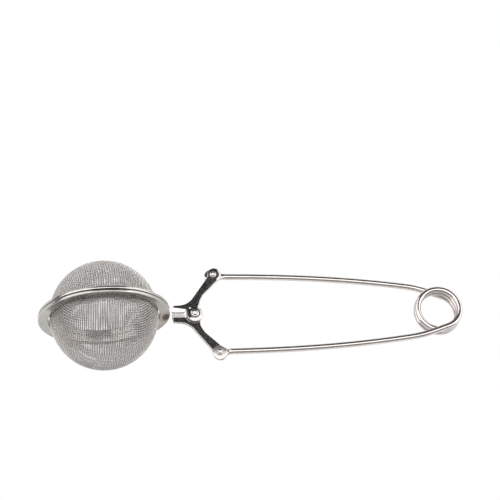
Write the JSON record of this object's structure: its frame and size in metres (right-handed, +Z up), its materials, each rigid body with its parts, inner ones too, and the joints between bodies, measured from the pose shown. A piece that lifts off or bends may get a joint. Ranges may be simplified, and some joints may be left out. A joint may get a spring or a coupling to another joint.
{
  "type": "tea infuser",
  "caption": "Snap-ball tea infuser: two hinged mesh bowls with flat rims, opened by squeezing a sprung wire handle with a coil at its end.",
  "frame": {"origin": "centre of the bounding box's base: the surface the infuser lies on, on the edge of its rims and on its coil", "axes": "+X along the handle from the ball to the coil, level; +Y from the lower bowl to the upper one, square to the rims' seam; +Z up. The infuser's own long axis dips 8.89 degrees from +X because the coil lies lower than the ball's centre"},
  "size_m": [0.168, 0.043, 0.0516],
  "materials": {
    "mesh": "fine woven stainless wire, satin, dull where two layers overlap",
    "rim": "bright pressed stainless sheet with a rolled edge",
    "lever": "polished stamped stainless sheet that looks dark where it faces the camera",
    "rivet": "bright peened stainless rivet",
    "wire": "bright drawn round spring wire"
  },
  "bodies": {
    "lower_half": {"lower_mesh_bowl": "mesh", "lower_rim": "rim", "lower_collar": "rim", "lower_lever": "lever", "pivot_rivet": "rivet", "lower_handle_rivet": "rivet"},
    "upper_half": {"upper_mesh_bowl": "mesh", "upper_rim": "rim", "upper_collar": "rim", "upper_lever": "lever", "upper_handle_rivet": "rivet"},
    "lower_handle": {"lower_spring_leg": "wire", "spring_coil": "wire"},
    "upper_handle": {"upper_spring_leg": "wire"}
  },
  "joints": [
    {"name": "lever_pivot", "type": "hinge", "parent": "lower_half", "child": "upper_half", "pos_m": [-0.02297, 0, 0.02029], "axis": [-0.1545, 0, -0.988], "range_deg": [0, 60], "stiffness_Nm_per_rad": 0.08, "springref_deg": -28.65},
    {"name": "lower_leg_pivot", "type": "hinge", "parent": "lower_half", "child": "lower_handle", "pos_m": [-0.01428, -0.0166, 0.01893], "axis": [-0.1545, 0, -0.988], "range_deg": [0, 34.42]},
    {"name": "coil_winding", "type": "hinge", "parent": "lower_handle", "child": "upper_handle", "pos_m": [0.07415, 0, 0.0051], "axis": [0.1545, 0, 0.988], "range_deg": [0, 8.63]}
  ],
  "couplings": [
    {"joint": "lower_leg_pivot", "follows": "lever_pivot", "ratio": 0.57026},
    {"joint": "coil_winding", "follows": "lever_pivot", "ratio": 0.14052}
  ]
}
